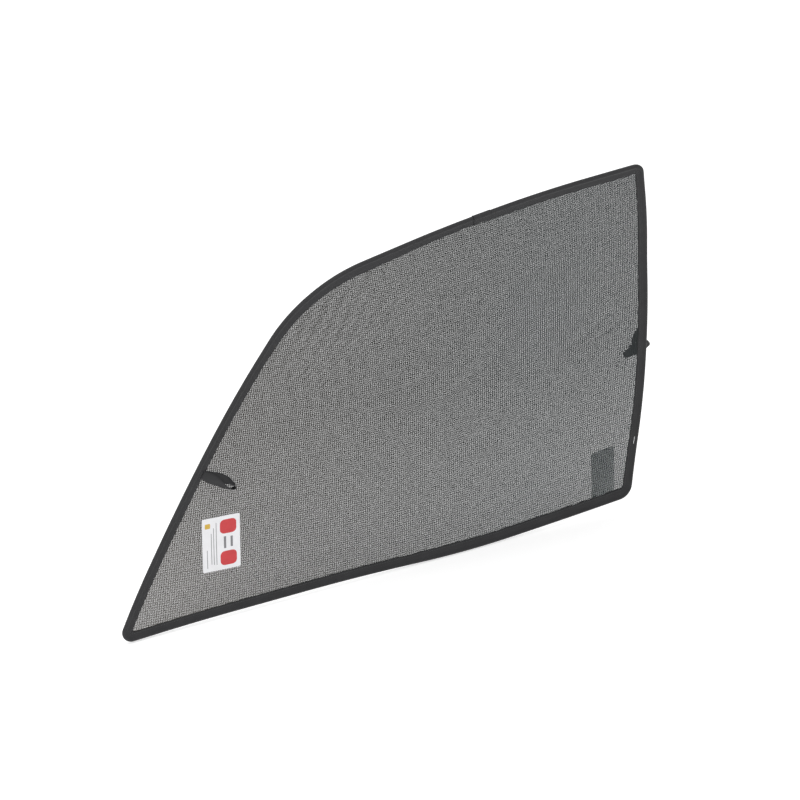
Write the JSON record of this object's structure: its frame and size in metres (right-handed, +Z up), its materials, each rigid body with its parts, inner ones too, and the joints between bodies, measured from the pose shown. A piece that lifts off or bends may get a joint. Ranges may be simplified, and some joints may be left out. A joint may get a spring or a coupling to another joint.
{
  "type": "car side window sun shade",
  "caption": "Bowed mesh sun shade for a car side window: taped wire frame, pull loop, turning latch and fold-out tongue.",
  "frame": {"origin": "half way along the bottom edge, on the line where the shade stands in the window frame", "axes": "+X along the sill towards the rear edge, +Y out of the car through the window, +Z up"},
  "size_m": [0.7597, 0.0381, 0.524],
  "materials": {
    "spring_steel": "drawn spring wire, oiled",
    "ferrule_steel": "plain crimped tube",
    "mesh": "fine black knitted mesh with open holes",
    "tape": "black woven binding tape, dull",
    "thread": "black twisted polyester thread",
    "label": "printed white film, matt",
    "latch_plastic": "moulded black plastic, fine texture",
    "rivet_steel": "blackened steel",
    "tongue_plastic": "thin frosted plastic sheet that lets some light through",
    "staple_steel": "bright plated wire",
    "ribbon": "black grosgrain ribbon"
  },
  "bodies": {
    "shade": {"frame_wire": "spring_steel", "wire_ferrule": "ferrule_steel", "mesh_panel": "mesh", "binding_bead": "tape", "binding_sides": "tape", "binding_lap": "tape", "cabin_seam_thread": "thread", "outer_seam_thread": "thread", "pull_loop_tack": "thread", "printed_label": "label", "latch_base": "latch_plastic", "latch_rivet": "rivet_steel", "sill_tongue_foot": "tongue_plastic", "sill_tongue_stitches": "thread", "tape_staple": "staple_steel"},
    "pull_loop": {"pull_loop": "ribbon"},
    "latch_lever": {"latch_lever": "latch_plastic"},
    "sill_tongue": {"sill_tongue": "tongue_plastic"}
  },
  "joints": [
    {"name": "pull_loop_fold", "type": "hinge", "parent": "shade", "child": "pull_loop", "pos_m": [-0.25016, 0.01806, 0.20595], "axis": [-0.4848, -0.0249, -0.8743], "range_deg": [0, 150]},
    {"name": "latch_turn", "type": "hinge", "parent": "shade", "child": "latch_lever", "pos_m": [0.366, 0.02701, 0.23155], "axis": [0, -0.9999, 0.0103], "range_deg": [0, 75]},
    {"name": "tongue_fold", "type": "hinge", "parent": "shade", "child": "sill_tongue", "pos_m": [0.3148, 0.00626, 0.02221], "axis": [-0.9973, -0.0117, -0.0723], "range_deg": [0, 140]}
  ]
}
